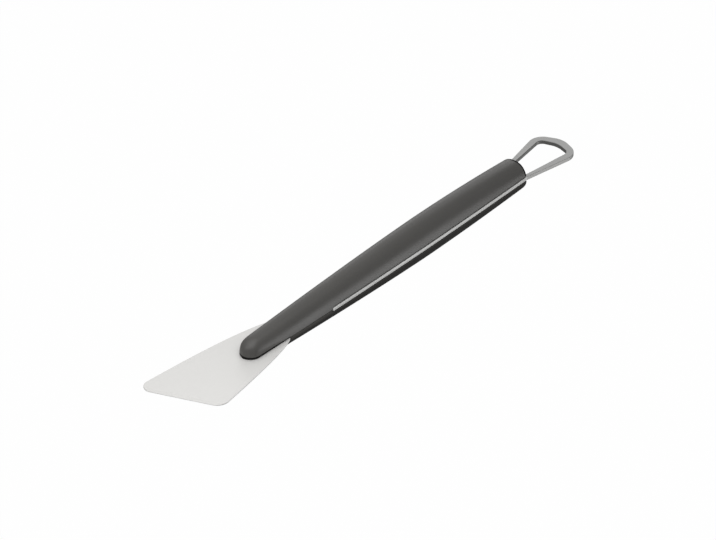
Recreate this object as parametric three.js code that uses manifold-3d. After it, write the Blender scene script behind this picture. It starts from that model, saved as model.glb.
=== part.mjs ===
// Grill scraper: a slanted steel blade clamped in a two-part moulded handle, with a plate frame
// that is inlaid along both sides of the handle and runs out behind it as a hanging loop.
// Millimetres. X runs from the blade to the loop, Y to the blade's long side, Z up.
// Origin: where the tool hangs, on the handle's axis at the far end of the loop's eye.
// The blade's top face lies at height zero.
import * as THREE from 'three';
import { mergeVertices } from 'three/addons/utils/BufferGeometryUtils.js';
import Module from 'manifold-3d';

// Handle, measured from the tip of its nose
const HANDLE_LENGTH = 290;
const BELLY_AT = 185;
const NOSE_HALF_WIDTH = 7.6;
const BELLY_HALF_WIDTH = 10.7;
const REAR_HALF_WIDTH = 10.15;
const NOSE_CROWN = 11.9;
const BELLY_CROWN = 16.8;
const REAR_CROWN = 12.6;
const NOSE_KEEL = 6;
const BELLY_KEEL = 13.1;
const REAR_KEEL = 10.6;
const NOSE_TAPER = 1.5;
const REAR_TAPER = 2;
const SECTION_SQUARENESS = 2.6;
const CROWN_DOME = 11;
const CROWN_NOSE_WALL = 4.3;
const KEEL_DOME = 26;
const KEEL_NOSE_WALL = 1.6;
const CROWN_REAR_ROUND = 5;
const KEEL_REAR_ROUND = 1.5;
const CROWN_REAR_SQUARENESS = 1.7;

// Shell walls, ribs and screw bosses
const WALL = 2.4;
const REAR_WALL = 4.5;
const SOLID_NOSE = 68;
const RIB_THICKNESS = 1.6;
const RIB_PITCH = 24;
const BOSS_RADIUS = 4.4;

// Clearances between pieces that touch on the real tool
const SEAM = 0.3;
const SEAT_GAP = 0.3;

// Blade, measured from the nose: the front edge is ahead of it
const BLADE_THICKNESS = 1;
const BLADE_REACH = 55.8;
const EDGE_SLANT = THREE.MathUtils.degToRad(21.5);
const LONG_SIDE_FRONT = 32.2;
const LONG_SIDE_BOW = 22.4;
const LONG_SIDE_BOW_AT = 47.6;
const LONG_SHOULDER_AT = 51;
const SHORT_SIDE_FRONT = 24.1;
const SHORT_SIDE_BOW = 14;
const SHORT_SIDE_BOW_AT = 34.2;
const SHORT_SHOULDER_AT = 37.8;
const SHOULDER_HALF_WIDTH = 7.4;
const SHOULDER_RUN = 2.5;
const LONG_CORNER_RADIUS = 6.3;
const SHORT_CORNER_RADIUS = 8.8;
const BEVEL_WIDTH = 2.5;
const EDGE_THICKNESS = 0.4;
const TANG_HALF_WIDTH = 4.5;
const TANG_END = 112;
const TANG_CORNER_RADIUS = 3;

// Hanger frame: one plate with two side rails, two cross webs and the loop
const FRAME_THICKNESS = 3;
const RAIL_START = 79;
const RAIL_WIDTH = 3;
const WEB_LENGTH = 12;
const TANG_TO_WEB = 10;
const REAR_WEB_FROM_END = 34;
const LOOP_LENGTH = 56.3;
const LOOP_OUTER_HALF_WIDTH = 19.4;
const LOOP_OUTER_SWEEP = 8.4;
const LOOP_INNER_LENGTH = 49;
const LOOP_INNER_HALF_WIDTH = 12.9;
const LOOP_INNER_SWEEP = 4.2;
const THROAT_HALF_WIDTH = 8.3;
const THROAT_LENGTH = 8;
const LOOP_OUTER_RADIUS = 11.6;
const LOOP_INNER_RADIUS = 5;
const LOOP_APEX_RADIUS = 15;

// Self-tapping screws, driven from below
const SHANK_RADIUS = 1.5;
const SHANK_LENGTH = 13;
const POINT_LENGTH = 2;
const HEAD_RADIUS = 3;
const HEAD_HEIGHT = 2.2;
const HEAD_EDGE = 1.3;
const HEAD_FLAT_RADIUS = 2.1;
const SEAT_DEPTH = 5.5;
const RECESS_LENGTH = 3.2;
const RECESS_WIDTH = 0.8;
const RECESS_DEPTH = 1.2;
const FRONT_SCREW_AT = 60;
const TANG_SCREW_FROM_END = 10;

// Facets
const SECTION_STEPS = 20;
const NOSE_STEPS = 8;
const BODY_STEPS = 18;
const REAR_STEPS = 4;
const CURVE_STEPS = 12;
const CORNER_STEPS = 8;
const ROUND_STEPS = 18;
const WELD = 1e-5;

// Reach of a cutter past the surface that it opens
const OVERCUT = 2;
const TALL = 2 * (BELLY_CROWN + BELLY_KEEL);
const WIDE = 4 * LONG_SIDE_FRONT;

const tangScrewAt = TANG_END - TANG_SCREW_FROM_END;
const frontWebAt = TANG_END + TANG_TO_WEB + WEB_LENGTH / 2;
const rearWebAt = HANDLE_LENGTH - REAR_WEB_FROM_END;
const frameBottom = SEAM / 2 - FRAME_THICKNESS / 2;
const boreRadius = SHANK_RADIUS + SEAT_GAP;

const wasm = await Module();
wasm.setup();

// A closed three.js geometry as a solid, ready to be joined or cut
function solid(geometry) {
  geometry.deleteAttribute('normal');
  geometry.deleteAttribute('uv');
  const merged = mergeVertices(geometry, WELD);
  return new wasm.Manifold(new wasm.Mesh({
    numProp: 3,
    vertProperties: new Float32Array(merged.attributes.position.array),
    triVerts: new Uint32Array(merged.index.array),
  }));
}

function geometryOf(body) {
  const { vertProperties, triVerts } = body.getMesh();
  const geometry = new THREE.BufferGeometry();
  geometry.setAttribute('position', new THREE.BufferAttribute(vertProperties, 3));
  geometry.setIndex(new THREE.BufferAttribute(triVerts, 1));
  geometry.computeVertexNormals();
  return geometry;
}

const joined = (bodies) => bodies.reduce((whole, body) => whole.add(body));

// A box given by its limits along X, Y and Z
function block([x0, x1], [y0, y1], [z0, z1]) {
  const box = new THREE.BoxGeometry(x1 - x0, y1 - y0, z1 - z0);
  return solid(box.translate((x0 + x1) / 2, (y0 + y1) / 2, (z0 + z1) / 2));
}

// A round post standing on the handle's axis
function post(at, radius, z0, z1) {
  const cylinder = new THREE.CylinderGeometry(radius, radius, z1 - z0, ROUND_STEPS);
  return solid(cylinder.rotateX(Math.PI / 2).translate(at, 0, (z0 + z1) / 2));
}

// A flat plate cut to an outline
function plate(shape, z0, z1) {
  const settings = { depth: z1 - z0, bevelEnabled: false, curveSegments: CURVE_STEPS };
  return solid(new THREE.ExtrudeGeometry(shape, settings).translate(0, 0, z0));
}

// Swells from the nose to the belly and falls off to the rear
function swell(at, nose, belly, rear) {
  const ahead = at < BELLY_AT;
  const span = ahead ? BELLY_AT - NOSE_HALF_WIDTH : HANDLE_LENGTH - BELLY_AT;
  const share = Math.abs(at - BELLY_AT) / span;
  const end = ahead ? nose : rear;
  return belly + (end - belly) * share ** (ahead ? NOSE_TAPER : REAR_TAPER);
}

// Rise of a quarter round, from 0 at its start to 1 at its length
function quarterRound(distance, length) {
  const left = Math.max(0, 1 - distance / length);
  return Math.sqrt(1 - left * left);
}

function halfWidth(at) {
  const width = swell(at, NOSE_HALF_WIDTH, BELLY_HALF_WIDTH, REAR_HALF_WIDTH);
  return width * quarterRound(at, NOSE_HALF_WIDTH);
}

// Share of a rear edge's rounding that is taken off at a place: 0 ahead of it, 1 at the end face
const rearShare = (at, round) => 1 - quarterRound(HANDLE_LENGTH - at, round);

// Height over the parting plane, domed at the nose and rounded at the rear
const crown = {
  height(at) {
    const full = swell(at, NOSE_CROWN, BELLY_CROWN, REAR_CROWN);
    const domed = CROWN_NOSE_WALL + (full - CROWN_NOSE_WALL) * quarterRound(at, CROWN_DOME);
    return domed - CROWN_REAR_ROUND * rearShare(at, CROWN_REAR_ROUND);
  },
  squareness(at) {
    const drop = SECTION_SQUARENESS - CROWN_REAR_SQUARENESS;
    return SECTION_SQUARENESS - drop * rearShare(at, CROWN_REAR_ROUND);
  },
};

// Depth under the parting plane
const keel = {
  height(at) {
    const full = swell(at, NOSE_KEEL, BELLY_KEEL, REAR_KEEL);
    const domed = KEEL_NOSE_WALL + (full - KEEL_NOSE_WALL) * quarterRound(at, KEEL_DOME);
    return domed - KEEL_REAR_ROUND * rearShare(at, KEEL_REAR_ROUND);
  },
  squareness: () => SECTION_SQUARENESS,
};

// Half of a rounded section: an arch over its flat side, with short legs below if it is a cutter
function archRing(half, at, wall, base, up, leg) {
  const width = halfWidth(at) - wall;
  const height = half.height(at) - wall - up * base;
  const power = 2 / half.squareness(at);
  const ring = [];
  for (let step = 0; step <= SECTION_STEPS; step += 1) {
    const angle = (Math.PI * step) / SECTION_STEPS;
    const across = Math.sign(Math.cos(angle)) * Math.abs(Math.cos(angle)) ** power;
    const rise = Math.sin(angle) ** power;
    ring.push(new THREE.Vector3(at, width * across, base + up * height * rise));
  }
  if (leg > 0) {
    ring.push(new THREE.Vector3(at, -width, base - up * leg));
    ring.push(new THREE.Vector3(at, width, base - up * leg));
  }
  return up > 0 ? ring : ring.reverse();
}

// A skin through rings that run along X, closed by flat ends
function loft(rings) {
  const count = rings[0].length;
  const index = [];
  for (let ring = 0; ring + 1 < rings.length; ring += 1) {
    for (let side = 0; side < count; side += 1) {
      const a = ring * count + side;
      const b = ring * count + ((side + 1) % count);
      index.push(a, b, a + count, b, b + count, a + count);
    }
  }
  const last = (rings.length - 1) * count;
  for (let side = 1; side + 1 < count; side += 1) {
    index.push(0, side + 1, side);
    index.push(last, last + side, last + side + 1);
  }
  const geometry = new THREE.BufferGeometry().setFromPoints(rings.flat());
  geometry.setIndex(index);
  return solid(geometry);
}

// Stations along the handle: close together on the round nose and the round rear edge
function handleStations() {
  const stations = [];
  for (let step = 1; step <= NOSE_STEPS; step += 1) {
    stations.push(CROWN_DOME * (1 - Math.cos((Math.PI / 2) * (step / NOSE_STEPS))));
  }
  const bodyEnd = HANDLE_LENGTH - CROWN_REAR_ROUND;
  for (let step = 1; step <= BODY_STEPS; step += 1) {
    stations.push(CROWN_DOME + ((bodyEnd - CROWN_DOME) * step) / BODY_STEPS);
  }
  for (let step = 1; step <= REAR_STEPS; step += 1) {
    stations.push(bodyEnd + CROWN_REAR_ROUND * Math.sin((Math.PI / 2) * (step / REAR_STEPS)));
  }
  return stations;
}

function cavityStations() {
  const stations = [];
  const end = HANDLE_LENGTH - REAR_WALL;
  for (let step = 0; step <= CURVE_STEPS; step += 1) {
    stations.push(SOLID_NOSE + ((end - SOLID_NOSE) * step) / CURVE_STEPS);
  }
  return stations;
}

// One moulded half of the handle before its pockets are cut: a skin with cross ribs and bosses
function mouldedHalf(half, base, up) {
  const outer = loft(handleStations().map((at) => archRing(half, at, 0, base, up, 0)));
  const hollow = loft(cavityStations().map((at) => archRing(half, at, WALL, base, up, OVERCUT)));
  const depth = up > 0 ? [base, TALL] : [-TALL, base];
  const inside = [tangScrewAt, frontWebAt, rearWebAt].map((at) => post(at, BOSS_RADIUS, ...depth));
  for (let at = SOLID_NOSE + RIB_PITCH / 2; at < HANDLE_LENGTH - REAR_WALL; at += RIB_PITCH) {
    const thickness = [at - RIB_THICKNESS / 2, at + RIB_THICKNESS / 2];
    inside.push(block(thickness, [-BELLY_HALF_WIDTH, BELLY_HALF_WIDTH], depth));
  }
  return outer.subtract(hollow).add(joined(inside).intersect(outer));
}

// Points of an arc that rounds the corner between two straight runs
function roundCorner(before, corner, after, radius) {
  const incoming = before.clone().sub(corner).normalize();
  const outgoing = after.clone().sub(corner).normalize();
  const half = incoming.angleTo(outgoing) / 2;
  const centre = incoming.clone().add(outgoing).setLength(radius / Math.sin(half)).add(corner);
  const from = corner.clone().addScaledVector(incoming, radius / Math.tan(half)).sub(centre);
  const turn = Math.PI - 2 * half;
  const sense = Math.sign(outgoing.cross(incoming));
  const points = [];
  for (let step = 0; step <= CORNER_STEPS; step += 1) {
    const angle = (sense * turn * step) / CORNER_STEPS;
    points.push(from.clone().rotateAround(new THREE.Vector2(), angle).add(centre));
  }
  return points;
}

// Points of a side that bows from one end to the other
function bowedSide(front, bow, shoulder) {
  return new THREE.QuadraticBezierCurve(front, bow, shoulder).getPoints(CURVE_STEPS);
}

// The same run of points on the other side of the axis, travelled the other way
const mirrored = (points) => points.map((p) => new THREE.Vector2(p.x, -p.y)).reverse();

// Blade outline, seen from above: the slanted edge, two bowed sides, two shoulders and the tang
function bladeOutline(slack) {
  const frontAt = (y) => -BLADE_REACH - y * Math.tan(EDGE_SLANT);
  const longFront = new THREE.Vector2(frontAt(LONG_SIDE_FRONT), LONG_SIDE_FRONT + slack);
  const shortFront = new THREE.Vector2(frontAt(-SHORT_SIDE_FRONT), -SHORT_SIDE_FRONT - slack);
  const longBow = new THREE.Vector2(LONG_SIDE_BOW_AT + slack, LONG_SIDE_BOW + slack);
  const shortBow = new THREE.Vector2(SHORT_SIDE_BOW_AT + slack, -SHORT_SIDE_BOW - slack);
  const shoulder = SHOULDER_HALF_WIDTH + slack;
  const longShoulder = new THREE.Vector2(LONG_SHOULDER_AT + slack, shoulder);
  const shortShoulder = new THREE.Vector2(SHORT_SHOULDER_AT + slack, -shoulder);
  const tang = TANG_HALF_WIDTH + slack;
  const tangEnd = TANG_END + slack;
  const longSide = bowedSide(longFront, longBow, longShoulder);
  const shortSide = bowedSide(shortFront, shortBow, shortShoulder);
  const tangRoot = new THREE.Vector2(0, -tang);
  const tangCorner = new THREE.Vector2(tangEnd, -tang);
  const tangMiddle = new THREE.Vector2(tangEnd, 0);
  const roundTang = roundCorner(tangRoot, tangCorner, tangMiddle, TANG_CORNER_RADIUS);
  return [
    ...roundCorner(longFront, shortFront, shortSide[1], SHORT_CORNER_RADIUS),
    ...shortSide.slice(2),
    new THREE.Vector2(shortShoulder.x + SHOULDER_RUN, -tang),
    ...roundTang,
    ...mirrored(roundTang),
    new THREE.Vector2(longShoulder.x + SHOULDER_RUN, tang),
    ...longSide.slice(2).reverse(),
    ...roundCorner(longSide[1], longFront, shortFront, LONG_CORNER_RADIUS),
  ];
}

function bladeBody() {
  const blank = plate(new THREE.Shape(bladeOutline(0)), -BLADE_THICKNESS, 0);
  // The bevel is ground off the top along the slanted edge
  const bevel = new THREE.Shape([
    new THREE.Vector2(-OVERCUT, EDGE_THICKNESS - BLADE_THICKNESS),
    new THREE.Vector2(0, EDGE_THICKNESS - BLADE_THICKNESS),
    new THREE.Vector2(BEVEL_WIDTH, 0),
    new THREE.Vector2(BEVEL_WIDTH, OVERCUT),
    new THREE.Vector2(-OVERCUT, OVERCUT),
  ]);
  const backward = new THREE.Vector3(Math.cos(EDGE_SLANT), Math.sin(EDGE_SLANT), 0);
  const upward = new THREE.Vector3(0, 0, 1);
  const along = new THREE.Vector3().crossVectors(backward, upward);
  const placed = new THREE.Matrix4().makeBasis(backward, upward, along);
  placed.setPosition(-BLADE_REACH, 0, 0);
  const wedge = new THREE.ExtrudeGeometry(bevel, { depth: WIDE, bevelEnabled: false });
  wedge.translate(0, 0, -WIDE / 2).applyMatrix4(placed);
  const holes = [FRONT_SCREW_AT, tangScrewAt].map((at) => post(at, boreRadius, -TALL, TALL));
  return blank.subtract(solid(wedge)).subtract(joined(holes));
}

// Points along one side of the handle, inset from its outer face
function sideLine(from, to, inset) {
  const between = handleStations().filter((at) => at > from && at < to);
  return [from, ...between, to].map((at) => new THREE.Vector2(at, halfWidth(at) - inset));
}

// One side of the loop, from the handle to its point: leg, rounded corner, half of the end bar
function loopSide(leg, corner, tip, cornerRadius, tipRadius) {
  const mirrorCorner = new THREE.Vector2(corner.x, -corner.y);
  const roundTip = roundCorner(corner, tip, mirrorCorner, tipRadius);
  const half = roundTip.slice(0, Math.ceil(roundTip.length / 2));
  return [leg, ...roundCorner(leg, corner, tip, cornerRadius), ...half];
}

// Side view of the plate: its front end is a full round
function railSideView(slack) {
  const radius = FRAME_THICKNESS / 2 + slack;
  const start = RAIL_START + FRAME_THICKNESS / 2;
  const end = HANDLE_LENGTH + LOOP_LENGTH + OVERCUT;
  const view = new THREE.Shape();
  view.moveTo(end, -radius);
  view.lineTo(end, radius);
  view.lineTo(start, radius);
  view.absarc(start, 0, radius, Math.PI / 2, (3 * Math.PI) / 2, false);
  const settings = { depth: WIDE, bevelEnabled: false, curveSegments: CURVE_STEPS };
  const geometry = new THREE.ExtrudeGeometry(view, settings).translate(0, 0, -WIDE / 2);
  return solid(geometry.rotateX(Math.PI / 2).translate(0, 0, SEAM / 2));
}

function loopOutside() {
  const end = HANDLE_LENGTH + LOOP_LENGTH;
  const leg = new THREE.Vector2(HANDLE_LENGTH, halfWidth(HANDLE_LENGTH));
  const corner = new THREE.Vector2(end - LOOP_OUTER_SWEEP, LOOP_OUTER_HALF_WIDTH);
  const tip = new THREE.Vector2(end, 0);
  return loopSide(leg, corner, tip, LOOP_OUTER_RADIUS, LOOP_APEX_RADIUS);
}

function loopInside() {
  const end = HANDLE_LENGTH + LOOP_INNER_LENGTH;
  const throat = new THREE.Vector2(HANDLE_LENGTH + THROAT_LENGTH, THROAT_HALF_WIDTH);
  const corner = new THREE.Vector2(end - LOOP_INNER_SWEEP, LOOP_INNER_HALF_WIDTH);
  const tip = new THREE.Vector2(end, 0);
  return loopSide(throat, corner, tip, LOOP_INNER_RADIUS, LOOP_APEX_RADIUS);
}

function frameBody() {
  const webEnd = (at, side) => at + (side * WEB_LENGTH) / 2;

  const outerSide = [
    ...sideLine(RAIL_START, HANDLE_LENGTH, 0),
    ...loopOutside().slice(1),
  ];
  const prong = sideLine(RAIL_START, webEnd(frontWebAt, -1), RAIL_WIDTH).reverse();
  const plan = new THREE.Shape([...outerSide, ...mirrored(outerSide), ...mirrored(prong), ...prong]);

  const window = sideLine(webEnd(frontWebAt, 1), webEnd(rearWebAt, -1), RAIL_WIDTH);
  plan.holes.push(new THREE.Path([...window, ...mirrored(window)].reverse()));
  const eye = [
    ...sideLine(webEnd(rearWebAt, 1), HANDLE_LENGTH, RAIL_WIDTH),
    ...loopInside(),
  ];
  plan.holes.push(new THREE.Path([...eye, ...mirrored(eye)].reverse()));
  const holes = [frontWebAt, rearWebAt].map((at) => post(at, boreRadius, -TALL, TALL));
  const flat = plate(plan, frameBottom, frameBottom + FRAME_THICKNESS);
  return flat.intersect(railSideView(0)).subtract(joined(holes));
}

// Room that the frame takes up between the shells: two side grooves and the beds of the webs
function frameRoom() {
  const low = frameBottom - SEAT_GAP;
  const high = frameBottom + FRAME_THICKNESS + SEAT_GAP;
  const from = RAIL_START - SEAT_GAP;
  const to = HANDLE_LENGTH + OVERCUT;
  const groove = [
    ...sideLine(from, to, RAIL_WIDTH + SEAT_GAP),
    ...sideLine(from, to, -OVERCUT).reverse(),
  ];
  const grooves = [groove, mirrored(groove)].map((line) => plate(new THREE.Shape(line), low, high));
  const half = WEB_LENGTH / 2 + SEAT_GAP;
  const beds = [frontWebAt, rearWebAt].map((at) => {
    const reachAcross = halfWidth(at) - RAIL_WIDTH / 2;
    return block([at - half, at + half], [-reachAcross, reachAcross], [low, high]);
  });
  return joined(grooves).intersect(railSideView(SEAT_GAP)).add(joined(beds));
}

const screwPlaces = {
  screw_front: FRONT_SCREW_AT,
  screw_tang: tangScrewAt,
  screw_middle: frontWebAt,
  screw_rear: rearWebAt,
};

function upperShellBody() {
  const pilots = Object.values(screwPlaces).map((at) => (
    post(at, boreRadius, -OVERCUT, SHANK_LENGTH - SEAT_DEPTH + SEAT_GAP)
  ));
  return mouldedHalf(crown, SEAM, 1).subtract(frameRoom()).subtract(joined(pilots));
}

function lowerShellBody() {
  const pocketShape = new THREE.Shape(bladeOutline(SEAT_GAP));
  const pocket = plate(pocketShape, -BLADE_THICKNESS - SEAT_GAP, OVERCUT);
  const bores = Object.values(screwPlaces).flatMap((at) => [
    post(at, boreRadius, -TALL, OVERCUT),
    post(at, HEAD_RADIUS + SEAT_GAP, -TALL, -SEAT_DEPTH),
  ]);
  return mouldedHalf(keel, 0, -1).subtract(pocket).subtract(frameRoom()).subtract(joined(bores));
}

// Pan head with a cross recess below, shank and point above, standing at its own seat
function screwBody() {
  const profile = [
    new THREE.Vector2(0, -HEAD_HEIGHT),
    new THREE.Vector2(HEAD_FLAT_RADIUS, -HEAD_HEIGHT),
    new THREE.Vector2(HEAD_RADIUS, -HEAD_EDGE),
    new THREE.Vector2(HEAD_RADIUS, 0),
    new THREE.Vector2(SHANK_RADIUS, 0),
    new THREE.Vector2(SHANK_RADIUS, SHANK_LENGTH - POINT_LENGTH),
    new THREE.Vector2(0, SHANK_LENGTH),
  ];
  const turned = solid(new THREE.LatheGeometry(profile, ROUND_STEPS).rotateX(Math.PI / 2));
  const deep = [-HEAD_HEIGHT - OVERCUT, -HEAD_HEIGHT + RECESS_DEPTH];
  const long = [-RECESS_LENGTH / 2, RECESS_LENGTH / 2];
  const narrow = [-RECESS_WIDTH / 2, RECESS_WIDTH / 2];
  return turned.subtract(block(long, narrow, deep).add(block(narrow, long, deep)));
}

const finishes = {
  steel: new THREE.MeshStandardMaterial({ color: 0xdfdedc, roughness: 0.38, metalness: 0.9 }),
  frame: new THREE.MeshStandardMaterial({ color: 0xa8a8a6, roughness: 0.5, metalness: 0.85 }),
  plastic: new THREE.MeshStandardMaterial({ color: 0x4b4a48, roughness: 0.55, metalness: 0 }),
  screw: new THREE.MeshStandardMaterial({ color: 0x8c8c8a, roughness: 0.35, metalness: 0.95 }),
};

function piece(name, body, finish) {
  const mesh = new THREE.Mesh(geometryOf(body), finish);
  mesh.name = name;
  return mesh;
}

const handle = new THREE.Group();
handle.position.x = -loopInside().at(-1).x;
handle.add(piece('blade', bladeBody(), finishes.steel));
handle.add(piece('hanger_frame', frameBody(), finishes.frame));
handle.add(piece('upper_shell', upperShellBody(), finishes.plastic));
handle.add(piece('lower_shell', lowerShellBody(), finishes.plastic));

for (const [name, at] of Object.entries(screwPlaces)) {
  const screw = piece(name, screwBody(), finishes.screw);
  screw.position.set(at, 0, -SEAT_DEPTH - SEAT_GAP);
  handle.add(screw);
}

const grillScraper = new THREE.Group();
grillScraper.add(handle);

export default grillScraper;
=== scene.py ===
import math

import bmesh
import bpy
import numpy as np
from mathutils import Matrix, Vector


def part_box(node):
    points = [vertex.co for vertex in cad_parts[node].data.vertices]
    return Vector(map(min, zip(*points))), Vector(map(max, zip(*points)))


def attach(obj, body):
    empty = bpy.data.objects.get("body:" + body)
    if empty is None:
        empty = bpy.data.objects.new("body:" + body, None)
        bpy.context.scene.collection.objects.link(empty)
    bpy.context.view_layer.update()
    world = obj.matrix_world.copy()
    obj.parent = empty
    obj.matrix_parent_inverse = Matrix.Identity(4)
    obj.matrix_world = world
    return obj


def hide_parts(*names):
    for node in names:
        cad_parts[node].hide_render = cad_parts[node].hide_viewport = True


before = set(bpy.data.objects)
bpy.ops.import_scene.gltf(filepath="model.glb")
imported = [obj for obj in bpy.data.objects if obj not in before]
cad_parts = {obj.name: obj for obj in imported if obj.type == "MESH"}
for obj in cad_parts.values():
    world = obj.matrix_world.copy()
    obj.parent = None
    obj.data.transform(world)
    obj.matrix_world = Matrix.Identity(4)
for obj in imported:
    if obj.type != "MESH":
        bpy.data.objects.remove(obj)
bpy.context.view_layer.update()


# Blade: one flat plate of stainless steel, 1 mm thick, cut to a fan with a slanted front edge.
# Its front is ground to a short bevel, and a tang runs back between the two halves of the handle,
# where two screws hold it. All lengths are millimetres from the tip of the handle's nose.
MM = 0.001
HANDLE_LENGTH = 290.0
NOSE_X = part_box("upper_shell")[1].x - HANDLE_LENGTH * MM
BLADE_THICKNESS = 1.0
BLADE_EDGE_ROUND = 0.25
BLADE_REACH = 55.75
EDGE_SLANT = math.radians(21.5)
LONG_SIDE_FRONT = 32.13
SHORT_SIDE_FRONT = 24.07
LONG_CORNER_RADIUS = 6.3
SHORT_CORNER_RADIUS = 8.8
LONG_BOW = (47.6, 22.4)
SHORT_BOW = (34.2, -14.0)
LONG_SHOULDER = (51.0, 7.4)
SHORT_SHOULDER = (37.8, -7.4)
SHOULDER_RUN = 2.5
TANG_HALF_WIDTH = 4.5
TANG_END = 112.0
TANG_CORNER_RADIUS = 3.0
BEVEL_WIDTH = 2.5
BEVEL_DROP = 0.6
BEVEL_SLOT = 2
SCREW_STATIONS = {"front": 60.0, "tang": 102.0, "middle": 128.0, "rear": 256.0}
SCREW_HOLE_RADIUS = 1.8
# A side's first points give way to its rounded corner
CORNER_SKIP = 5
# An inset reaches no further into a sharp corner than its distance over this
LEAST_MITRE = 0.4
# A face whose normal rises less than this is a wall
WALL_RISE = 0.5


def to_frame(points):
    """Handle millimetres to the frame's metres."""
    return np.asarray(points, float) * MM + np.array([NOSE_X, 0.0, 0.0])


def corner_arc(before, corner, after, radius, steps=14):
    """Points of the arc that rounds a corner between two straight runs."""
    before, corner, after = (np.array(p, float) for p in (before, corner, after))
    back = (before - corner) / np.linalg.norm(before - corner)
    ahead = (after - corner) / np.linalg.norm(after - corner)
    half = math.acos(np.clip(back @ ahead, -1, 1)) / 2
    middle = (back + ahead) / np.linalg.norm(back + ahead)
    centre = corner + middle * radius / math.sin(half)
    start = corner + back * radius / math.tan(half) - centre
    sense = np.sign(ahead[0] * back[1] - ahead[1] * back[0])
    turns = np.linspace(0, sense * (math.pi - 2 * half), steps + 1)
    across = np.array([-start[1], start[0]])
    return [centre + start * math.cos(t) + across * math.sin(t) for t in turns]


def bowed_side(front, bow, shoulder, steps=40):
    """A side that bows from the front corner to the shoulder."""
    t = np.linspace(0, 1, steps + 1)[:, None]
    front, bow, shoulder = (np.array(p, float) for p in (front, bow, shoulder))
    return list(front * (1 - t) ** 2 + bow * 2 * t * (1 - t) + shoulder * t ** 2)


def round_hole(at, radius, steps=32):
    """A hole on the handle's axis, travelled clockwise."""
    turns = -np.linspace(0, 2 * math.pi, steps, endpoint=False)
    return np.stack([at + radius * np.cos(turns), radius * np.sin(turns)], axis=1)


def inset(loop, distance):
    """A closed run of points moved to its left, into the material."""
    ahead = np.roll(loop, -1, axis=0) - loop
    ahead /= np.linalg.norm(ahead, axis=1)[:, None]
    left = np.stack([-ahead[:, 1], ahead[:, 0]], axis=1)
    middle = left + np.roll(left, 1, axis=0)
    middle /= np.linalg.norm(middle, axis=1)[:, None]
    stretch = 1 / np.maximum(LEAST_MITRE, np.sum(middle * left, axis=1))
    return loop + middle * (distance * stretch)[:, None]


def rounded_plate(loops, low, high, edge, steps=3):
    """A flat plate cut to closed loops, the outline first, with every edge rounded.
    Its two flat faces shade flat, and the walls of its openings take the second material."""
    mesh = bmesh.new()
    turns = [math.pi / 2 * k / steps for k in range(steps + 1)]
    levels = [(edge * (1 - math.sin(t)), high - edge * (1 - math.cos(t))) for t in turns]
    levels += [(d, low + high - z) for d, z in reversed(levels)]
    tops, bottoms = [], []
    for count, loop in enumerate(loops):
        rings = []
        for distance, z in levels:
            flat = inset(loop, distance)
            rings.append([mesh.verts.new((p[0], p[1], z)) for p in flat])
        for upper, lower in zip(rings, rings[1:]):
            for k in range(len(upper)):
                j = (k + 1) % len(upper)
                wall = mesh.faces.new((upper[j], upper[k], lower[k], lower[j]))
                wall.smooth = True
                wall.material_index = min(count, 1)
        for ring, edges in ((rings[0], tops), (rings[-1], bottoms)):
            edges += [mesh.edges.get((ring[k - 1], ring[k])) for k in range(len(ring))]
    for edges, normal in ((tops, (0, 0, 1)), (bottoms, (0, 0, -1))):
        bmesh.ops.triangle_fill(mesh, edges=edges, use_beauty=True, normal=normal)
    bmesh.ops.recalc_face_normals(mesh, faces=mesh.faces)
    return mesh


def object_from(name, mesh):
    """Puts a bmesh drawn in metres into the scene."""
    data = bpy.data.meshes.new(name)
    mesh.to_mesh(data)
    mesh.free()
    made = bpy.data.objects.new(name, data)
    bpy.context.scene.collection.objects.link(made)
    return made


def piece_from(name, mesh):
    """Puts a bmesh drawn in handle millimetres into the scene, in the frame's metres."""
    for vert in mesh.verts:
        vert.co = Vector(to_frame(vert.co))
    return object_from(name, mesh)


def front_line(y):
    """Where the slanted front edge lies at a place across the blade."""
    return -BLADE_REACH - y * math.tan(EDGE_SLANT)


long_front = (front_line(LONG_SIDE_FRONT), LONG_SIDE_FRONT)
short_front = (front_line(-SHORT_SIDE_FRONT), -SHORT_SIDE_FRONT)
long_side = bowed_side(long_front, LONG_BOW, LONG_SHOULDER)
short_side = bowed_side(short_front, SHORT_BOW, SHORT_SHOULDER)
tang_near = (TANG_END, -TANG_HALF_WIDTH)
tang_far = (TANG_END, TANG_HALF_WIDTH)
blade_outline = np.array([
    *corner_arc(long_front, short_front, short_side[1], SHORT_CORNER_RADIUS),
    *short_side[CORNER_SKIP:],
    (SHORT_SHOULDER[0] + SHOULDER_RUN, -TANG_HALF_WIDTH),
    *corner_arc((0, -TANG_HALF_WIDTH), tang_near, (TANG_END, 0), TANG_CORNER_RADIUS),
    *corner_arc((TANG_END, 0), tang_far, (0, TANG_HALF_WIDTH), TANG_CORNER_RADIUS),
    (LONG_SHOULDER[0] + SHOULDER_RUN, TANG_HALF_WIDTH),
    *long_side[:CORNER_SKIP - 1:-1],
    *corner_arc(long_side[1], long_front, short_front, LONG_CORNER_RADIUS),
])
blade_holes = [round_hole(SCREW_STATIONS[n], SCREW_HOLE_RADIUS) for n in ("front", "tang")]
blade_mesh = rounded_plate([blade_outline, *blade_holes], -BLADE_THICKNESS, 0.0, BLADE_EDGE_ROUND)
edge_middle = Vector((-BLADE_REACH, 0, 0))
edge_normal = Vector((math.cos(EDGE_SLANT), math.sin(EDGE_SLANT), 0))
bevel_start = edge_middle + edge_normal * BEVEL_WIDTH
whole_blade = [*blade_mesh.verts, *blade_mesh.edges, *blade_mesh.faces]
bmesh.ops.bisect_plane(blade_mesh, geom=whole_blade, plane_co=bevel_start, plane_no=edge_normal)
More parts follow.
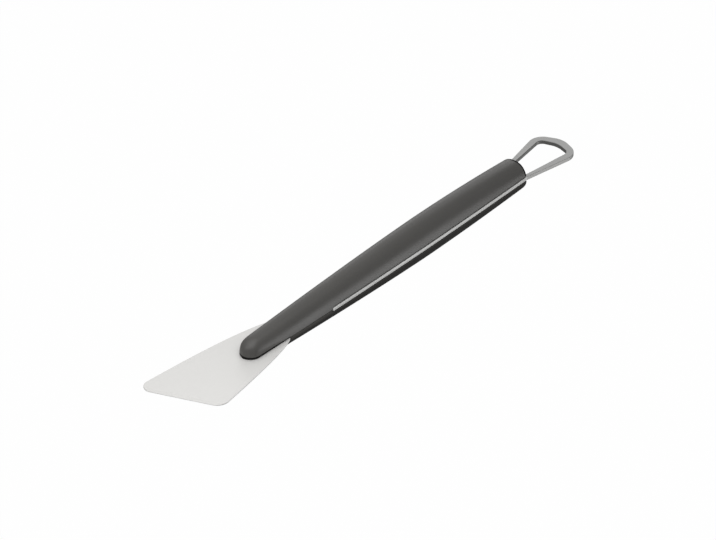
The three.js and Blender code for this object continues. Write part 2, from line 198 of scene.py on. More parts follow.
for vert in blade_mesh.verts:
    behind = (vert.co - edge_middle).dot(edge_normal)
    share = 1 - min(1.0, max(0.0, behind / BEVEL_WIDTH))
    height = (vert.co.z + BLADE_THICKNESS) / BLADE_THICKNESS
    vert.co.z -= BEVEL_DROP * share * height
blade_mesh.normal_update()
for face in blade_mesh.faces:
    on_bevel = (face.calc_center_median() - bevel_start).dot(edge_normal) < 0
    if on_bevel and face.normal.z > WALL_RISE:
        face.material_index = BEVEL_SLOT
blade = piece_from("scraper_blade", blade_mesh)


def new_material(name):
    """A material, its node tree and its shader."""
    material = bpy.data.materials.new(name)
    material.use_nodes = True
    tree = material.node_tree
    return material, tree, tree.nodes["Principled BSDF"]


def new_group(name, inputs, outputs):
    """A shader node group with named number sockets, and its two end nodes."""
    group = bpy.data.node_groups.new(name, "ShaderNodeTree")
    for socket, value in inputs.items():
        made = group.interface.new_socket(socket, in_out="INPUT", socket_type="NodeSocketFloat")
        made.default_value = value
    for socket in outputs:
        group.interface.new_socket(socket, in_out="OUTPUT", socket_type="NodeSocketFloat")
    return group, group.nodes.new("NodeGroupInput"), group.nodes.new("NodeGroupOutput")


def math_node(tree, operation, *values):
    """A sum, product or other step. A number is set on the node, a socket is linked."""
    node = tree.nodes.new("ShaderNodeMath")
    node.operation = operation
    for socket, value in zip(node.inputs, values):
        if isinstance(value, (int, float)):
            socket.default_value = value
        else:
            tree.links.new(value, socket)
    return node.outputs[0]


# The mill's satin finish on sheet steel: short fine lines that run along the handle
satin_lines, lines_in, lines_out = new_group(
    "satin_lines", {"Lines per metre": 4000.0, "Stretch": 40.0}, ("Shade", "Height")
)
place = satin_lines.nodes.new("ShaderNodeTexCoord")
split = satin_lines.nodes.new("ShaderNodeSeparateXYZ")
joined = satin_lines.nodes.new("ShaderNodeCombineXYZ")
fibre = satin_lines.nodes.new("ShaderNodeTexNoise")
fibre.inputs["Scale"].default_value = 1.0
fibre.inputs["Detail"].default_value = 3.0
fibre.inputs["Roughness"].default_value = 0.6
satin_lines.links.new(place.outputs["Object"], split.inputs[0])
across = lines_in.outputs["Lines per metre"]
along = math_node(satin_lines, "DIVIDE", across, lines_in.outputs["Stretch"])
for axis, lines in zip("XYZ", (along, across, across)):
    scaled = math_node(satin_lines, "MULTIPLY", split.outputs[axis], lines)
    satin_lines.links.new(scaled, joined.inputs[axis])
satin_lines.links.new(joined.outputs[0], fibre.inputs["Vector"])
satin_lines.links.new(fibre.outputs["Fac"], lines_out.inputs["Shade"])
centred = math_node(satin_lines, "SUBTRACT", fibre.outputs["Fac"], 0.5)
satin_lines.links.new(centred, lines_out.inputs["Height"])

# Faint uneven patches that hands and washing leave on any of the surfaces
handling, handling_in, handling_out = new_group(
    "handling", {"Patches per metre": 30.0, "Contrast": 1.0}, ("Patch",)
)
place = handling.nodes.new("ShaderNodeTexCoord")
cloud = handling.nodes.new("ShaderNodeTexNoise")
cloud.inputs["Detail"].default_value = 4.0
cloud.inputs["Roughness"].default_value = 0.55
handling.links.new(place.outputs["Object"], cloud.inputs["Vector"])
handling.links.new(handling_in.outputs["Patches per metre"], cloud.inputs["Scale"])
centred = math_node(handling, "SUBTRACT", cloud.outputs["Fac"], 0.5)
patch = math_node(handling, "MULTIPLY", centred, handling_in.outputs["Contrast"])
handling.links.new(patch, handling_out.inputs["Patch"])


def placed_group(tree, group, **values):
    """A group in a material, with its own values."""
    node = tree.nodes.new("ShaderNodeGroup")
    node.node_tree = group
    for socket, value in values.items():
        node.inputs[socket.replace("_", " ")].default_value = value
    return node


def blended(tree, first, second, factor):
    """A colour between two, by a mask. Each of the two is a colour or a socket."""
    node = tree.nodes.new("ShaderNodeMix")
    node.data_type = "RGBA"
    for socket, colour in (("A", first), ("B", second)):
        if isinstance(colour, tuple):
            node.inputs[socket].default_value = (*colour, 1)
        else:
            tree.links.new(colour, node.inputs[socket])
    tree.links.new(factor, node.inputs["Factor"])
    return node.outputs["Result"]


def bumped(tree, height, distance, shader):
    """A fine relief on a shader's surface."""
    node = tree.nodes.new("ShaderNodeBump")
    node.inputs["Strength"].default_value = 1.0
    node.inputs["Distance"].default_value = distance
    tree.links.new(height, node.inputs["Height"])
    tree.links.new(node.outputs[0], shader.inputs["Normal"])


def lined_steel(name, dark, light, lines, marks, rough, metallic, relief):
    """Steel with fine lines and handling marks. lines is the lines per metre and how far each is
    stretched, marks the patches per metre and their contrast, rough the least and the added."""
    material, tree, shader = new_material(name)
    grain = placed_group(tree, satin_lines, Lines_per_metre=lines[0], Stretch=lines[1])
    touched = placed_group(tree, handling, Patches_per_metre=marks[0], Contrast=marks[1])
    tone = math_node(tree, "ADD", grain.outputs["Shade"], touched.outputs["Patch"])
    tree.links.new(blended(tree, dark, light, tone), shader.inputs["Base Color"])
    roughness = math_node(tree, "MULTIPLY_ADD", grain.outputs["Shade"], rough[1], rough[0])
    tree.links.new(roughness, shader.inputs["Roughness"])
    shader.inputs["Metallic"].default_value = metallic
    bumped(tree, grain.outputs["Height"], relief, shader)
    return material


satin_finish = {
    "lines": (6000.0, 60.0), "marks": (35.0, 0.12), "rough": (0.45, 0.1),
    "metallic": 0.25, "relief": 0.004 * MM,
}
blade_steel = lined_steel(
    "satin_blade_steel", (0.621, 0.615, 0.601), (0.714, 0.708, 0.693), **satin_finish
)
# The bevel is painted a little greyer than the faces: painted shade, set against the light its
# slope takes from the lamps
bevel_steel = lined_steel(
    "bevel_painted_shade_steel", (0.569, 0.563, 0.55), (0.654, 0.648, 0.634), **satin_finish
)
# The outside, the holes' walls and the bevel
for steel in (blade_steel, blade_steel, bevel_steel):
    blade.data.materials.append(steel)
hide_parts("blade")
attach(blade, "root")


# Hanger frame: one stirrup cut from 3 mm stainless plate. Its two rails lie flush in grooves along
# both sides of the handle, two webs join them inside, and behind the handle it runs out as a loop.
FRAME_LOW = -1.35
FRAME_HIGH = 1.65
FRAME_MIDDLE = (FRAME_LOW + FRAME_HIGH) / 2
FRAME_EDGE_ROUND = 0.3
FRAME_WELD = 0.002
RAIL_START = 79.0
RAIL_WIDTH = 3.0
RAIL_END_RADIUS = (FRAME_HIGH - FRAME_LOW) / 2
RAIL_TIP_STEPS = 8
WEB_HALF_LENGTH = 6.0
LOOP_LENGTH = 56.3
LOOP_HALF_WIDTH = 19.4
LOOP_CORNER_BACK = 8.4
LOOP_CORNER_RADIUS = 11.6
EYE_LENGTH = 49.0
EYE_LEG_START = 8.0
EYE_LEG_HALF_WIDTH = 8.3
EYE_HALF_WIDTH = 12.9
EYE_CORNER_BACK = 4.2
EYE_CORNER_RADIUS = 5.0
APEX_RADIUS = 15.0
OUTER_WALL_SLOT = 2
BELLY_AT = 185.0
NOSE_HALF_WIDTH = 7.6
BELLY_HALF_WIDTH = 10.7
REAR_HALF_WIDTH = 10.15
NOSE_TAPER = 1.5
REAR_TAPER = 2


def swell(at, nose, belly, rear):
    """Swells from the nose to the belly of the handle and falls off to the rear."""
    at = np.asarray(at, float)
    ahead = np.abs(at - BELLY_AT) / (BELLY_AT - NOSE_HALF_WIDTH)
    behind = np.abs(at - BELLY_AT) / (HANDLE_LENGTH - BELLY_AT)
    front = belly + (nose - belly) * ahead ** NOSE_TAPER
    return np.where(at < BELLY_AT, front, belly + (rear - belly) * behind ** REAR_TAPER)


def quarter_round(distance, length):
    """Rises along a quarter round, from 0 at its start to 1 at its length."""
    left = np.maximum(0, 1 - np.asarray(distance, float) / length)
    return np.sqrt(np.maximum(0, 1 - left * left))


def half_width(at):
    """Half the handle's width at a place along it."""
    full = swell(at, NOSE_HALF_WIDTH, BELLY_HALF_WIDTH, REAR_HALF_WIDTH)
    return full * quarter_round(at, NOSE_HALF_WIDTH)


def side_line(start, end, depth, step=2.0):
    """Points along the far side of the handle, at a depth under its outer face."""
    at = np.linspace(start, end, max(2, round((end - start) / step)) + 1)
    return np.stack([at, half_width(at) - depth], axis=1)


def loop_side(leg, corner, tip, corner_radius):
    """One side of the loop: its leg, its rounded corner and half of its end bar."""
    turned = corner_arc(corner, tip, (corner[0], -corner[1]), APEX_RADIUS)
    return [leg, *corner_arc(leg, corner, tip, corner_radius), *turned[:len(turned) // 2 + 1]]


def closed_loop(far_side):
    """A far side and its mirror image on the near side, without the doubled end point."""
    far_side = np.asarray(far_side)
    near_side = (far_side * (1, -1))[::-1]
    doubled = np.allclose(far_side[-1], near_side[0], atol=1e-6)
    return np.concatenate([far_side, near_side[1:] if doubled else near_side])


tip_turns = np.linspace(0, math.pi / 2, RAIL_TIP_STEPS + 1)[:-1]
rail_front = RAIL_START + RAIL_END_RADIUS * (1 - np.cos(tip_turns))
rail_tip = np.stack([rail_front, half_width(rail_front)], axis=1)
rail_outside = side_line(RAIL_START + RAIL_END_RADIUS, HANDLE_LENGTH, 0)
loop_outside = loop_side(
    (HANDLE_LENGTH, float(half_width(HANDLE_LENGTH))),
    (HANDLE_LENGTH + LOOP_LENGTH - LOOP_CORNER_BACK, LOOP_HALF_WIDTH),
    (HANDLE_LENGTH + LOOP_LENGTH, 0), LOOP_CORNER_RADIUS,
)
loop_inside = loop_side(
    (HANDLE_LENGTH + EYE_LEG_START, EYE_LEG_HALF_WIDTH),
    (HANDLE_LENGTH + EYE_LENGTH - EYE_CORNER_BACK, EYE_HALF_WIDTH),
    (HANDLE_LENGTH + EYE_LENGTH, 0), EYE_CORNER_RADIUS,
)
web_fronts = [SCREW_STATIONS[n] - WEB_HALF_LENGTH for n in ("middle", "rear")]
web_backs = [SCREW_STATIONS[n] + WEB_HALF_LENGTH for n in ("middle", "rear")]
far_outside = [*rail_tip, *rail_outside, *loop_outside[1:]]
prong = [
    *(rail_tip - (0, RAIL_WIDTH)),
    *side_line(RAIL_START + RAIL_END_RADIUS, web_fronts[0], RAIL_WIDTH),
]
fork = [*closed_loop(far_outside), *[(p[0], -p[1]) for p in prong], *prong[::-1]]
window = closed_loop(side_line(web_backs[0], web_fronts[1], RAIL_WIDTH))
eye = closed_loop([*side_line(web_backs[1], HANDLE_LENGTH, RAIL_WIDTH), *loop_inside])
frame_loops = [
    np.array(fork)[::-1], window, eye,
    *[round_hole(SCREW_STATIONS[n], SCREW_HOLE_RADIUS) for n in ("middle", "rear")],
]
frame_mesh = rounded_plate(frame_loops, FRAME_LOW, FRAME_HIGH, FRAME_EDGE_ROUND)
for vert in frame_mesh.verts:
    ahead = RAIL_START + RAIL_END_RADIUS - vert.co.x
    if ahead > 0:
        share = math.sqrt(max(0.0, 1 - (ahead / RAIL_END_RADIUS) ** 2))
        vert.co.z = FRAME_MIDDLE + (vert.co.z - FRAME_MIDDLE) * share
bmesh.ops.remove_doubles(frame_mesh, verts=frame_mesh.verts, dist=FRAME_WELD)
frame_mesh.normal_update()
for face in frame_mesh.faces:
    is_wall = abs(face.normal.z) < WALL_RISE and face.material_index == 0
    if is_wall and face.calc_center_median().x > HANDLE_LENGTH:
        face.material_index = OUTER_WALL_SLOT
hanger = piece_from("hanger_frame_plate", frame_mesh)

hanger.data.materials.append(lined_steel(
    "matte_frame_steel", (0.38, 0.38, 0.374), (0.49, 0.49, 0.482), lines=(3500.0, 12.0),
    marks=(60.0, 0.3), rough=(0.43, 0.14), metallic=0.9, relief=0.008 * MM,
))
# The wall of the eye stays as it was cut and is rougher; its darker colour is painted shade inside
# the eye
hanger.data.materials.append(lined_steel(
    "eye_wall_painted_shade_steel", (0.15, 0.148, 0.144), (0.24, 0.238, 0.232), lines=(2500.0, 1.5),
    marks=(120.0, 0.6), rough=(0.45, 0.2), metallic=0.9, relief=0.02 * MM,
))
# The loop's outer wall is a little darker than the rails, which are ground flush with the handle;
# the darker colour is painted shade on that side of the loop
hanger.data.materials.append(lined_steel(
    "outer_wall_painted_shade_steel", (0.285, 0.284, 0.279), (0.365, 0.364, 0.358), lines=(2500.0, 1.5),
    marks=(120.0, 0.3), rough=(0.46, 0.14), metallic=0.9, relief=0.008 * MM,
))
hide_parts("hanger_frame")
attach(hanger, "root")


# Lower half of the handle: a hollow moulding in anthracite plastic with a fine spark-eroded skin.
# The blade lies in the open slot at its nose, the rails in a step along its sides,
# and four round wells in its keel let the screws in from below.
SEAT_GAP = 0.3
PARTING_GAP = 0.12
RAIL_GAP = 0.52
BLADE_GAP = 0.15
NOSE_KEEL = 6.0
BELLY_KEEL = 13.07
REAR_KEEL = 10.6
KEEL_DOME = 26.0
KEEL_NOSE_WALL = 1.6
KEEL_REAR_ROUND = 1.5
CROWN_DOME = 11.0
CROWN_REAR_ROUND = 4.0
SECTION_SQUARENESS = 2.6
LIP_RADIUS = 0.45
NOSE_LIP_RADIUS = 0.7
SEAM_LIP_RADIUS = 0.6
LIP_FADE = 8.0
REAR_EDGE_RADIUS = 0.4
REAR_WALL = 4.5
HOLLOW_START = RAIL_START + 4.0
HOLLOW_END = HANDLE_LENGTH - REAR_WALL
GROOVE_DEPTH = RAIL_WIDTH + SEAT_GAP
CHANNEL_HALF_WIDTH = TANG_HALF_WIDTH + SEAT_GAP
SLOT_ENDS = (SHORT_SHOULDER[0] + SEAT_GAP, LONG_SHOULDER[0] + SEAT_GAP)
WELL_RADIUS = 3.3
WELL_ROOF = -5.5
WELL_REACH = 20.0
WELL_SIDES = 48
SEAM_FADE = 3.5
# The lighter tone painted at the top of the lower half, as painted light
PAINTED_LIGHT_TONE = (0.076, 0.0735, 0.069)
HANDLED_ROUGHNESS = 0.3
SMOOTH_ANGLE = math.radians(38)
# How finely the skin is divided along the handle
NOSE_STATIONS = 34
NOSE_FIRST_TURN = 0.03
GROOVE_STATIONS = 12
CROWN_STATIONS = 14
REAR_EDGE_STATIONS = 7
BODY_START = 13.0
BODY_END = HANDLE_LENGTH - 5.0
BODY_STEP = 2.4
STEP_HALF_RUN = 0.02
LEAST_SPACING = 0.012
# How finely each section is divided, and the most of its width that a feature takes
ARCH_SAMPLES = 721
ARCH_POINTS = 64
LIP_POINTS = 4
GROOVE_SHARE = 0.45
LIP_SHARE = 0.2
CHANNEL_SHARE = 0.8
SKIN_WELD = 0.001
SKIN_SLIVER = 0.0005


def rear_trim(at):
    """How much the last small round at the rear face takes off."""
    past = np.asarray(at, float) - (HANDLE_LENGTH - REAR_EDGE_RADIUS)
    past = np.maximum(0, past) / REAR_EDGE_RADIUS
    return REAR_EDGE_RADIUS * (1 - np.sqrt(np.maximum(0, 1 - past * past)))


def lip_radius(at):
    """The round of a half's edge: larger ahead of the rails, where the halves meet."""
    places = (SHORT_SHOULDER[0], LONG_SHOULDER[0], RAIL_START - LIP_FADE, RAIL_START)
    radii = (NOSE_LIP_RADIUS, SEAM_LIP_RADIUS, SEAM_LIP_RADIUS, LIP_RADIUS)
    return float(np.interp(at, places, radii))


def groove_wall(at):
    """How far the step for the rail is from the plate's middle: none ahead of its round end."""
    reach = RAIL_END_RADIUS + RAIL_GAP
    ahead = max(0.0, RAIL_START + RAIL_END_RADIUS - at)
    return math.sqrt(max(0.0, reach ** 2 - ahead ** 2))


def shell_stations(steps):
    """Places along the handle, close together at the nose, at each step and at the rear."""
    nose_turns = np.linspace(NOSE_FIRST_TURN, math.pi / 2, NOSE_STATIONS)
    rounds = ((CROWN_REAR_ROUND, CROWN_STATIONS), (REAR_EDGE_RADIUS, REAR_EDGE_STATIONS))
    every = np.concatenate([
        CROWN_DOME * (1 - np.cos(nose_turns)),
        np.linspace(RAIL_START - RAIL_GAP, RAIL_START + RAIL_END_RADIUS, GROOVE_STATIONS),
        np.arange(BODY_START, BODY_END, BODY_STEP),
        *[HANDLE_LENGTH - radius * (1 - np.sin(np.linspace(0, math.pi / 2, count)))
          for radius, count in rounds],
        *[(at - STEP_HALF_RUN, at + STEP_HALF_RUN) for at in steps],
    ])
    every = np.unique(np.round(every, 4))
    kept = [every[0]]
    for at in every[1:]:
        if at - kept[-1] > LEAST_SPACING:
            kept.append(at)
    return kept


def half_section(at, up, base, height, squareness, lips, inner, bed):
    """One closed section of a half: lip, arch, lip, then back along the step and the inside.
    lips are the heights of the near and far lower edges, inner those beside the steps,
    bed that of the channel between them."""
    trim = float(rear_trim(at))
    width = float(half_width(at)) - trim
    rise = height - trim - up * base
    depth = min(GROOVE_DEPTH, GROOVE_SHARE * width)
    lip = min(lip_radius(at), LIP_SHARE * width)
    turn = np.linspace(0, math.pi, ARCH_SAMPLES)
    across = -np.sign(np.cos(turn)) * np.abs(np.cos(turn)) ** (2 / squareness) * width
    tall = rise * np.sin(turn) ** (2 / squareness)
    near, far = (max(0.0, up * (level - base)) + lip for level in lips)
    keep = np.where(across < 0, tall > near, tall > far)
    across, tall = across[keep], tall[keep]
    run = np.concatenate([[0], np.cumsum(np.hypot(np.diff(across), np.diff(tall)))])
    even = np.linspace(0, run[-1], ARCH_POINTS)
    across, tall = np.interp(even, run, across), np.interp(even, run, tall)
    bends = np.linspace(0, math.pi / 2, LIP_POINTS + 1)[:-1]
    near_lip = [(across[0] + lip * (1 - math.sin(b)), near - lip * math.cos(b)) for b in bends]
    far_lip = [(across[-1] - lip * (1 - math.sin(b)), far - lip * math.cos(b)) for b in bends]
    path = [*near_lip, *zip(across, tall), *far_lip[::-1]]
    ring = [(at, y, base + up * z) for y, z in path]
    inside = width - depth
    middle = min(CHANNEL_HALF_WIDTH, CHANNEL_SHARE * inside)
    back = [
        (inside, lips[1]), (inside, inner[1]), (middle, inner[1]), (middle, bed),
        (-middle, bed), (-middle, inner[0]), (-inside, inner[0]), (-inside, lips[0]),
    ]
    return ring + [(at, y, z) for y, z in back]


def lofted(sections):
    """A closed skin through sections that all have as many points."""
    mesh = bmesh.new()
    rings = [[mesh.verts.new(p) for p in section] for section in sections]
    for first, second in zip(rings, rings[1:]):
        for k in range(len(first)):
            j = (k + 1) % len(first)
            mesh.faces.new((first[k], first[j], second[j], second[k]))
    mesh.faces.new(rings[0])
    mesh.faces.new(rings[-1])
    bmesh.ops.remove_doubles(mesh, verts=mesh.verts, dist=SKIN_WELD)
    bmesh.ops.dissolve_degenerate(mesh, edges=mesh.edges, dist=SKIN_SLIVER)
    bmesh.ops.recalc_face_normals(mesh, faces=mesh.faces)
    return mesh


def cut_away(piece, cutter):
    """Cuts one object's shape out of a piece and takes the cutter away."""
    cut = piece.modifiers.new("cut", "BOOLEAN")
    cut.object = cutter
    cut.solver = "EXACT"
    bpy.context.view_layer.objects.active = piece
    bpy.ops.object.modifier_apply(modifier=cut.name)
    bpy.data.objects.remove(cutter)


def smoothed(data):
    """Shades a mesh smooth, apart from its sharp edges."""
    data.polygons.foreach_set("use_smooth", [True] * len(data.polygons))
    data.set_sharp_from_angle(angle=SMOOTH_ANGLE)


slot_floor = -BLADE_THICKNESS - BLADE_GAP
rail_floor = FRAME_MIDDLE - RAIL_END_RADIUS - RAIL_GAP
lower_sections = []
for at in shell_stations([*SLOT_ENDS, HOLLOW_START, HOLLOW_END]):
    full = swell(at, NOSE_KEEL, BELLY_KEEL, REAR_KEEL)
    depth = KEEL_NOSE_WALL + (full - KEEL_NOSE_WALL) * quarter_round(at, KEEL_DOME)
    depth -= KEEL_REAR_ROUND * (1 - quarter_round(HANDLE_LENGTH - at, KEEL_REAR_ROUND))
    step = min(0.0, FRAME_MIDDLE - groove_wall(at))
    lips = [(slot_floor if at < end else step) - float(rear_trim(at)) for end in SLOT_ENDS]
    if HOLLOW_START < at < HOLLOW_END:
        inner = [rail_floor, rail_floor]
        bed = rail_floor
    else:
        inner = [slot_floor if at < end else 0.0 for end in SLOT_ENDS]
        bed = slot_floor if at <= HOLLOW_START else 0.0
    lower_sections.append(
        half_section(at, -1, 0.0, float(depth), SECTION_SQUARENESS, lips, inner, bed)
    )
lower = piece_from("handle_lower_half", lofted(lower_sections))

well_mesh = bmesh.new()
for at in SCREW_STATIONS.values():
    made = bmesh.ops.create_cone(
        well_mesh, cap_ends=True, segments=WELL_SIDES,
        radius1=WELL_RADIUS, radius2=WELL_RADIUS, depth=WELL_REACH,
    )
    middle = (at, 0, WELL_ROOF - WELL_REACH / 2)
    bmesh.ops.translate(well_mesh, verts=made["verts"], vec=middle)
cut_away(lower, piece_from("well_cutter", well_mesh))
smoothed(lower.data)

# The fine pebbled skin that a spark-eroded mould leaves on plastic
mould_skin, skin_in, skin_out = new_group(
    "mould_skin", {"Pebbles per metre": 2500.0}, ("Shade", "Height")
)
place = mould_skin.nodes.new("ShaderNodeTexCoord")
pebble = mould_skin.nodes.new("ShaderNodeTexNoise")
pebble.inputs["Detail"].default_value = 2.0
pebble.inputs["Roughness"].default_value = 0.5
mould_skin.links.new(place.outputs["Object"], pebble.inputs["Vector"])
mould_skin.links.new(skin_in.outputs["Pebbles per metre"], pebble.inputs["Scale"])
mould_skin.links.new(pebble.outputs["Fac"], skin_out.inputs["Shade"])
centred = math_node(mould_skin, "SUBTRACT", pebble.outputs["Fac"], 0.5)
mould_skin.links.new(centred, skin_out.inputs["Height"])


def moulded_plastic(name, dark, light, pebbles, marks, rough, specular, relief):
    """Plastic with a mould's skin and handling marks. pebbles is the grains per metre,
    marks the patches per metre and their contrast."""
    material, tree, shader = new_material(name)
    skin = placed_group(tree, mould_skin, Pebbles_per_metre=pebbles)
    touched = placed_group(tree, handling, Patches_per_metre=marks[0], Contrast=marks[1])
    tone = math_node(tree, "ADD", skin.outputs["Shade"], touched.outputs["Patch"])
    tree.links.new(blended(tree, dark, light, tone), shader.inputs["Base Color"])
    roughness = math_node(
        tree, "MULTIPLY_ADD", touched.outputs["Patch"], HANDLED_ROUGHNESS, rough
    )
    tree.links.new(roughness, shader.inputs["Roughness"])
    shader.inputs["Specular IOR Level"].default_value = specular
    bumped(tree, skin.outputs["Height"], relief, shader)
    return material


# The lower half is darker than the upper half: painted shade on the same plastic, whose faces turn
# down, away from the light
lower_plastic = moulded_plastic(
    "lower_half_plastic", (0.0215, 0.0208, 0.0196), (0.034, 0.0329, 0.031),
    pebbles=2600.0, marks=(45.0, 0.3), rough=0.65, specular=0.08, relief=0.02 * MM,
)
# Painted light: near the seam the lower half is painted up to a lighter tone, which fades out
# below the seam, so its top is lighter than the faces further down
tree = lower_plastic.node_tree
skin_colour = tree.nodes["Principled BSDF"].inputs["Base Color"]
place = tree.nodes.new("ShaderNodeTexCoord")
split = tree.nodes.new("ShaderNodeSeparateXYZ")
tree.links.new(place.outputs["Object"], split.inputs[0])
painted_light_mask = math_node(tree, "MULTIPLY_ADD", split.outputs["Z"], 1 / (SEAM_FADE * MM), 1.0)
painted_light_mask.node.use_clamp = True
faded = blended(tree, skin_colour.links[0].from_socket, PAINTED_LIGHT_TONE, painted_light_mask)
tree.links.new(faded, skin_colour)
lower.data.materials.append(lower_plastic)
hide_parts("lower_shell")
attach(lower, "root")


# Upper half of the handle: the same moulding, with a rounded nose that closes over the blade
# and a smooth crown. It is clamped down on the blade, the rails and the lower half by the screws.
UPPER_BASE = PARTING_GAP
NOSE_CROWN = 11.9
BELLY_CROWN = 16.76
REAR_CROWN = 12.6
CROWN_NOSE_WALL = 4.3
CROWN_REAR_SQUARENESS = 1.3
NOSE_EDGE_HEIGHT = 1.9
NOSE_EDGE_LEAN = math.radians(1.2)
REAR_EDGE_RUN = 1.9
REAR_EDGE_LEAN = math.radians(12)
# A face whose normal points further back than this is the flat rear face
REAR_FACE_TURN = 0.99

rail_roof = FRAME_MIDDLE + RAIL_END_RADIUS + RAIL_GAP
upper_sections = []
for at in shell_stations([HOLLOW_START, HOLLOW_END]):
    full = swell(at, NOSE_CROWN, BELLY_CROWN, REAR_CROWN)
    crown = CROWN_NOSE_WALL + (full - CROWN_NOSE_WALL) * quarter_round(at, CROWN_DOME)
    rounded = float(1 - quarter_round(HANDLE_LENGTH - at, CROWN_REAR_ROUND))
    crown -= CROWN_REAR_ROUND * rounded
    squareness = SECTION_SQUARENESS - (SECTION_SQUARENESS - CROWN_REAR_SQUARENESS) * rounded
    step = max(UPPER_BASE, FRAME_MIDDLE + groove_wall(at)) + float(rear_trim(at))
    inner = rail_roof if HOLLOW_START < at < HOLLOW_END else UPPER_BASE
    upper_sections.append(half_section(
        at, 1, UPPER_BASE, float(crown), squareness, [step, step], [inner, inner], inner
    ))
upper_mesh = lofted(upper_sections)
# Planes that bound the edge over the blade and the rear edge, which take the painted shade
nose_edge = Vector((0, 0, UPPER_BASE + NOSE_EDGE_HEIGHT))
rear_edge = Vector((HANDLE_LENGTH - REAR_EDGE_RUN, 0, rail_roof))
nose_lean = Vector((-math.sin(NOSE_EDGE_LEAN), 0, -math.cos(NOSE_EDGE_LEAN)))
rear_lean = Vector((math.cos(REAR_EDGE_LEAN), 0, math.sin(REAR_EDGE_LEAN)))
for point, normal in ((nose_edge, nose_lean), (rear_edge, rear_lean)):
    whole_half = [*upper_mesh.verts, *upper_mesh.edges, *upper_mesh.faces]
    bmesh.ops.bisect_plane(upper_mesh, geom=whole_half, plane_co=point, plane_no=normal)
for face in upper_mesh.faces:
    middle = face.calc_center_median()
    slot_end = SLOT_ENDS[0] if middle.y < 0 else SLOT_ENDS[1]
    over_blade = (middle - nose_edge).dot(nose_lean) > 0 and middle.x < slot_end
    at_rear = (middle - rear_edge).dot(rear_lean) > 0 and face.normal.x < REAR_FACE_TURN
    face.material_index = int(over_blade or at_rear)
upper = piece_from("handle_upper_half", upper_mesh)
smoothed(upper.data)

upper.data.materials.append(moulded_plastic(
    "upper_half_plastic", (0.052, 0.0502, 0.0472), (0.0717, 0.0693, 0.0652),
    pebbles=2600.0, marks=(28.0, 0.35), rough=0.4, specular=0.42, relief=0.02 * MM,
))
# The edge over the blade and the rear edge take a finer skin and a darker colour: painted shade
# under the nose's edge, where it meets the blade, and along the rear edge
upper.data.materials.append(moulded_plastic(
    "edge_painted_shade_plastic", (0.006, 0.0059, 0.0057), (0.012, 0.0118, 0.0115),
    pebbles=6000.0, marks=(90.0, 0.5), rough=0.6, specular=0.05, relief=0.004 * MM,
))
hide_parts("upper_shell")
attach(upper, "root")


# Screws: four plated self-tapping pan-head screws with a cross recess. They are driven from below
# and pull the two halves together through the blade's tang and the frame's webs.
SCREW_SEAT = -5.8
SCREW_SIDES = 40
SCREW_WELD = 0.001 * MM
HEAD_RADIUS = 3.0
HEAD_EDGE = 0.9
HEAD_HEIGHT = 2.2
HEAD_CHAMFER = 0.15
DOME_RISE = HEAD_HEIGHT - HEAD_EDGE
DOME_POINTS = 14
SHANK_LENGTH = 13.0
SHANK_FILLET = 0.25
POINT_LENGTH = 2.4
POINT_BLUNTNESS = 0.15
THREAD_CREST = 1.5
THREAD_ROOT = 1.1
THREAD_PITCH = 1.3
THREAD_FLANK = 0.28
RINGS_PER_PITCH = 10
# The recess's half length, half width and height, at its mouth and at its foot
RECESS_MOUTH = (1.7, 0.475, -HEAD_HEIGHT - 0.5)
RECESS_FOOT = (0.5, 0.25, -HEAD_HEIGHT + 1.2)
# Each screw came to rest at a turn of its own
FIRST_TURN = 17
NEXT_TURN = 38

dome = np.linspace(math.pi / 2, 0, DOME_POINTS)[1:]
head_profile = [
    *[(HEAD_RADIUS * math.cos(t), -HEAD_EDGE - DOME_RISE * math.sin(t)) for t in dome],
    (HEAD_RADIUS, -HEAD_CHAMFER),
    (HEAD_RADIUS - HEAD_CHAMFER, 0.0),
    (THREAD_ROOT + SHANK_FILLET, 0.0),
]
turns = np.linspace(0, 2 * math.pi, SCREW_SIDES, endpoint=False)
screw_rings = []
for radius, z in head_profile:
    screw_rings.append([(radius * math.cos(t), radius * math.sin(t), z) for t in turns])
for z in np.arange(SHANK_FILLET, SHANK_LENGTH, THREAD_PITCH / RINGS_PER_PITCH):
    taper = min(1.0, (SHANK_LENGTH - z) / POINT_LENGTH) * min(1.0, z / THREAD_PITCH)
    closing = min(1.0, (SHANK_LENGTH - z + POINT_BLUNTNESS) / POINT_LENGTH)
    ring = []
    for t in turns:
        phase = (z / THREAD_PITCH - t / (2 * math.pi)) % 1.0
        crest = max(0.0, 1 - abs(phase - 0.5) / THREAD_FLANK)
        radius = THREAD_ROOT * closing + (THREAD_CREST - THREAD_ROOT) * crest * taper
        ring.append((radius * math.cos(t), radius * math.sin(t), z))
    screw_rings.append(ring)
recess_rings = []
for reach, half, z in (RECESS_MOUTH, RECESS_FOOT):
    ring = []
    for quarter in range(4):
        turn = Matrix.Rotation(quarter * math.pi / 2, 3, "Z")
        arm = ((reach, -half, z), (reach, half, z), (half, half, z))
        ring += [turn @ Vector(p) for p in arm]
    recess_rings.append(ring)
screw_mesh = lofted(screw_rings)
recess_mesh = lofted(recess_rings)
for vert in [*screw_mesh.verts, *recess_mesh.verts]:
    vert.co *= MM
first_screw = object_from("front_screw", screw_mesh)
screw_data = first_screw.data
screw_data.name = "tapping_screw"
cut_away(first_screw, object_from("recess_cutter", recess_mesh))
# The cut leaves a few doubled points
screw_mesh = bmesh.new()
screw_mesh.from_mesh(screw_data)
bmesh.ops.remove_doubles(screw_mesh, verts=screw_mesh.verts, dist=SCREW_WELD)
screw_mesh.to_mesh(screw_data)
screw_mesh.free()
smoothed(screw_data)

